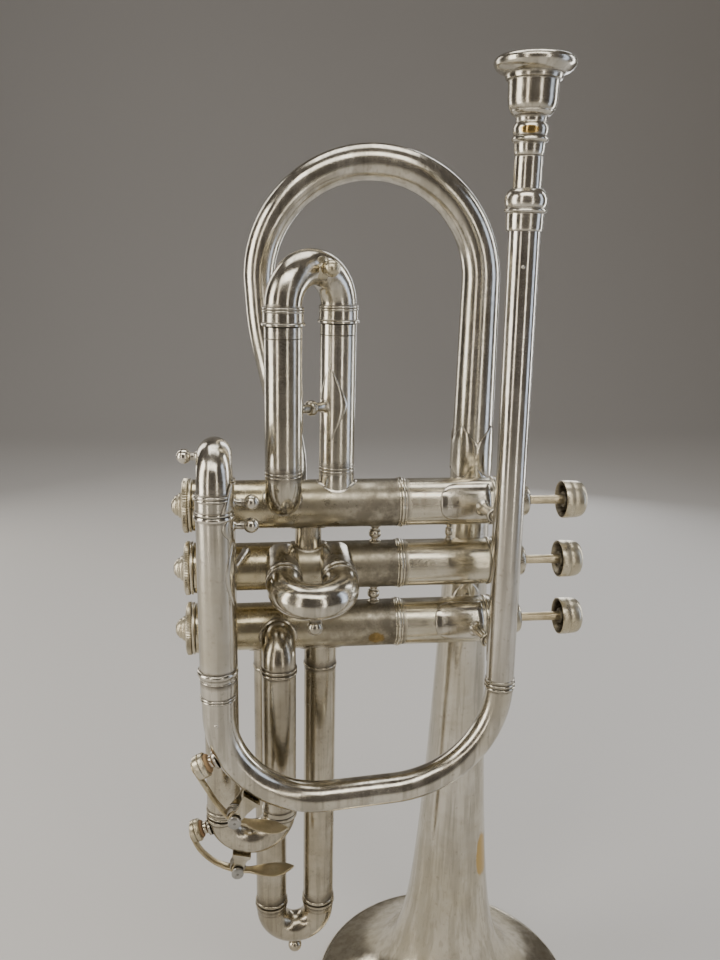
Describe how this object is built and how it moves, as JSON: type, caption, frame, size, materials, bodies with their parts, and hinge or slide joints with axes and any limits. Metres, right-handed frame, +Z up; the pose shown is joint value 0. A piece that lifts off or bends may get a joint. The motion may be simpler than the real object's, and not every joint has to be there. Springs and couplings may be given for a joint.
{
  "type": "cornet",
  "caption": "Small-bore silver-plated cornet with three piston valves, a tuning slide, valve slides, water keys and a wide flared bell; it stands on the bell rim.",
  "frame": {"origin": "centre of the base of the overall box, on the plane that the bell rim stands on", "axes": "+Z up from the bell rim to the mouthpiece, +X along the valves towards the finger buttons, -Y towards the leadpipe side"},
  "size_m": [0.1768, 0.1334, 0.398],
  "materials": {
    "silver_plate": "worn silver plate over brass, mottled and scratched",
    "dull_plate": "dull tarnished silver plate over brass",
    "worn_brass": "bare olive-yellow worn brass",
    "piston_metal": "lapped nickel-silver surface",
    "cork": "soft cork pad"
  },
  "bodies": {
    "horn": {"bell": "silver_plate", "bell_bow": "silver_plate", "bell_brace_lower": "silver_plate", "bell_brace_upper": "silver_plate", "bell_ferrule": "silver_plate", "bottom_cap_1": "silver_plate", "bottom_cap_2": "silver_plate", "bottom_cap_3": "silver_plate", "brace_12": "silver_plate", "brace_23": "silver_plate", "casing_1": "silver_plate", "casing_2": "silver_plate", "casing_3": "silver_plate", "crossover_12": "dull_plate", "crossover_23": "dull_plate", "key1_nipple": "silver_plate", "key1_saddle": "silver_plate", "key2_nipple": "silver_plate", "key2_saddle": "silver_plate", "lead_bow": "silver_plate", "lead_brace_lower": "silver_plate", "lead_brace_upper": "silver_plate", "lead_ferrule": "silver_plate", "leadpipe": "silver_plate", "lower_bow": "dull_plate", "receiver": "silver_plate", "return_tube": "dull_plate", "slide1_brace": "silver_plate", "slide1_tube_front": "silver_plate", "slide1_tube_rear": "silver_plate", "slide2_tube_left": "silver_plate", "slide2_tube_right": "silver_plate", "slide3_tube_left": "dull_plate", "slide3_tube_right": "dull_plate", "top_cap_1": "silver_plate", "top_cap_2": "silver_plate", "top_cap_3": "silver_plate", "tuning_brace": "silver_plate", "tuning_post_fixed": "silver_plate", "tuning_tube_front": "silver_plate", "tuning_tube_rear": "dull_plate"},
    "valve_1": {"piston_1": "piston_metal", "stem_1": "worn_brass", "button_1": "silver_plate"},
    "valve_2": {"piston_2": "piston_metal", "stem_2": "worn_brass", "button_2": "silver_plate"},
    "valve_3": {"piston_3": "piston_metal", "stem_3": "worn_brass", "button_3": "silver_plate"},
    "tuning_slide": {"tuning_crook": "silver_plate", "tuning_post_slide": "silver_plate"},
    "slide_1": {"slide1_crook": "silver_plate"},
    "slide_2": {"slide2_crook": "silver_plate"},
    "slide_3": {"slide3_crook": "dull_plate"},
    "mouthpiece": {"mouthpiece": "silver_plate"},
    "water_key_1": {"key1_lever": "worn_brass", "key1_cork": "cork"},
    "water_key_2": {"key2_lever": "worn_brass", "key2_cork": "cork"}
  },
  "joints": [
    {"name": "valve_1_press", "type": "slide", "parent": "horn", "child": "valve_1", "axis": [-1, 0, 0], "range_m": [0, 0.0135], "stiffness_N_per_m": 200, "springref_m": -0.006},
    {"name": "valve_2_press", "type": "slide", "parent": "horn", "child": "valve_2", "axis": [-1, 0, 0], "range_m": [0, 0.0135], "stiffness_N_per_m": 200, "springref_m": -0.006},
    {"name": "valve_3_press", "type": "slide", "parent": "horn", "child": "valve_3", "axis": [-1, 0, 0], "range_m": [0, 0.0135], "stiffness_N_per_m": 200, "springref_m": -0.006},
    {"name": "tuning_slide_pull", "type": "slide", "parent": "horn", "child": "tuning_slide", "axis": [0, 0, 1], "range_m": [0, 0.02]},
    {"name": "slide_1_pull", "type": "slide", "parent": "horn", "child": "slide_1", "axis": [0, 0, 1], "range_m": [0, 0.022]},
    {"name": "slide_2_pull", "type": "slide", "parent": "horn", "child": "slide_2", "axis": [0, -0.9925, -0.1219], "range_m": [0, 0.006]},
    {"name": "slide_3_pull", "type": "slide", "parent": "horn", "child": "slide_3", "axis": [0, 0, -1], "range_m": [0, 0.028]},
    {"name": "mouthpiece_pull", "type": "slide", "parent": "horn", "child": "mouthpiece", "axis": [0, 0, 1], "range_m": [0, 0.009]},
    {"name": "water_key_1_hinge", "type": "hinge", "parent": "horn", "child": "water_key_1", "pos_m": [-0.06723, -0.05489, 0.14713], "axis": [0, 1, 0], "range_deg": [-15, 0], "stiffness_Nm_per_rad": 0.05, "springref_deg": 17.19},
    {"name": "water_key_2_hinge", "type": "hinge", "parent": "horn", "child": "water_key_2", "pos_m": [-0.06694, -0.03689, 0.1116], "axis": [0, 1, 0], "range_deg": [-15, 0], "stiffness_Nm_per_rad": 0.05, "springref_deg": 17.19}
  ]
}
